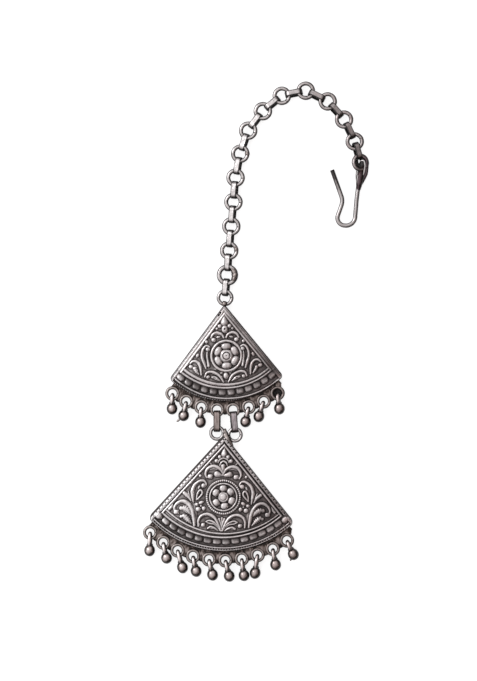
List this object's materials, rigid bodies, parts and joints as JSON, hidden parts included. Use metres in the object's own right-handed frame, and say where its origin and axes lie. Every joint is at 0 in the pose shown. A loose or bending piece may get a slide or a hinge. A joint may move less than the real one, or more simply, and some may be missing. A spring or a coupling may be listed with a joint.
{
  "type": "maang tikka",
  "caption": "Hair jewel laid flat: two fan pendants with raised ornament and ball drops, a ring and flat link chain, and a wire hair hook.",
  "frame": {"origin": "under the centre of the lower fan's rosette, on the plane that the jewel lies on", "axes": "+Z out of the ornament, up from the surface; +Y from the lower fan towards the chain and the top of its arch; +X to the side that the hook lies on"},
  "size_m": [0.0564, 0.1248, 0.0031],
  "materials": {
    "fan_silver": "oxidised repousse silver, dark in the hollows and rubbed bright on the relief",
    "drop_silver": "oxidised silver balls and wire, rubbed bright on top",
    "chain_silver": "oxidised silver rings and flat links",
    "hook_silver": "drawn silver wire, darkened at the soldered eye"
  },
  "bodies": {
    "root": {"chain_link_01": "chain_silver", "chain_link_02": "chain_silver", "chain_link_03": "chain_silver", "chain_link_04": "chain_silver", "chain_link_05": "chain_silver", "chain_link_06": "chain_silver", "chain_link_07": "chain_silver", "chain_link_08": "chain_silver", "chain_link_09": "chain_silver", "chain_link_10": "chain_silver", "chain_link_11": "chain_silver", "chain_link_12": "chain_silver", "chain_link_13": "chain_silver", "chain_link_14": "chain_silver", "chain_ring_01": "chain_silver", "chain_ring_02": "chain_silver", "chain_ring_03": "chain_silver", "chain_ring_04": "chain_silver", "chain_ring_05": "chain_silver", "chain_ring_06": "chain_silver", "chain_ring_07": "chain_silver", "chain_ring_08": "chain_silver", "chain_ring_09": "chain_silver", "chain_ring_10": "chain_silver", "chain_ring_11": "chain_silver", "chain_ring_12": "chain_silver", "chain_ring_13": "chain_silver", "chain_ring_14": "chain_silver", "hair_hook": "hook_silver", "left_connector": "chain_silver", "lower_drop_01": "drop_silver", "lower_drop_02": "drop_silver", "lower_drop_03": "drop_silver", "lower_drop_04": "drop_silver", "lower_drop_05": "drop_silver", "lower_drop_06": "drop_silver", "lower_drop_07": "drop_silver", "lower_drop_08": "drop_silver", "lower_drop_09": "drop_silver", "lower_drop_10": "drop_silver", "lower_fan": "fan_silver", "right_connector": "chain_silver", "upper_drop_01": "drop_silver", "upper_drop_02": "drop_silver", "upper_drop_03": "drop_silver", "upper_drop_04": "drop_silver", "upper_drop_05": "drop_silver", "upper_drop_06": "drop_silver", "upper_fan": "fan_silver"}
  },
  "joints": []
}
